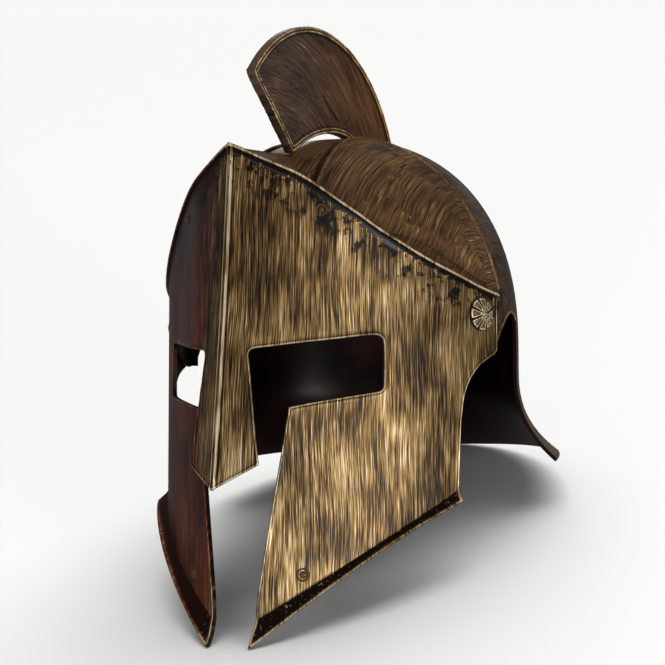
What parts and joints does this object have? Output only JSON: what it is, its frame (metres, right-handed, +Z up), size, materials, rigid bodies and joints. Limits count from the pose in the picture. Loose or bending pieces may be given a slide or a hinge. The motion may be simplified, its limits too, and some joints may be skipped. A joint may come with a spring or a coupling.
{
  "type": "corinthian helmet",
  "caption": "Moulded costume helmet of Corinthian form: pointed visor with eye and mouth openings, domed skull with flared neck guard, tall crest along the midline.",
  "frame": {"origin": "on the surface that the helmet rests on, at the middle of its bounding box", "axes": "+Z up; the face looks along -Y; +X is the wearer's left. The helmet rests leaned back by 23.7 degrees, on its two cheek tips and the back of its neck guard"},
  "size_m": [0.2312, 0.2844, 0.2795],
  "materials": {
    "antique_bronze": "satin bronze paint, brushed with gold over a dark brown ground",
    "dark_bronze": "glossy dark bronze paint with sparse gold streaks",
    "gilt": "pale gold paint rubbed over raised ornament"
  },
  "bodies": {
    "root": {"visor": "antique_bronze", "skull": "dark_bronze", "crest": "dark_bronze", "ear_rosette_left": "gilt", "ear_rosette_right": "gilt", "brow_rivet_left": "antique_bronze", "brow_rivet_right": "antique_bronze", "cheek_rivet_left": "antique_bronze", "cheek_rivet_right": "antique_bronze"}
  },
  "joints": []
}
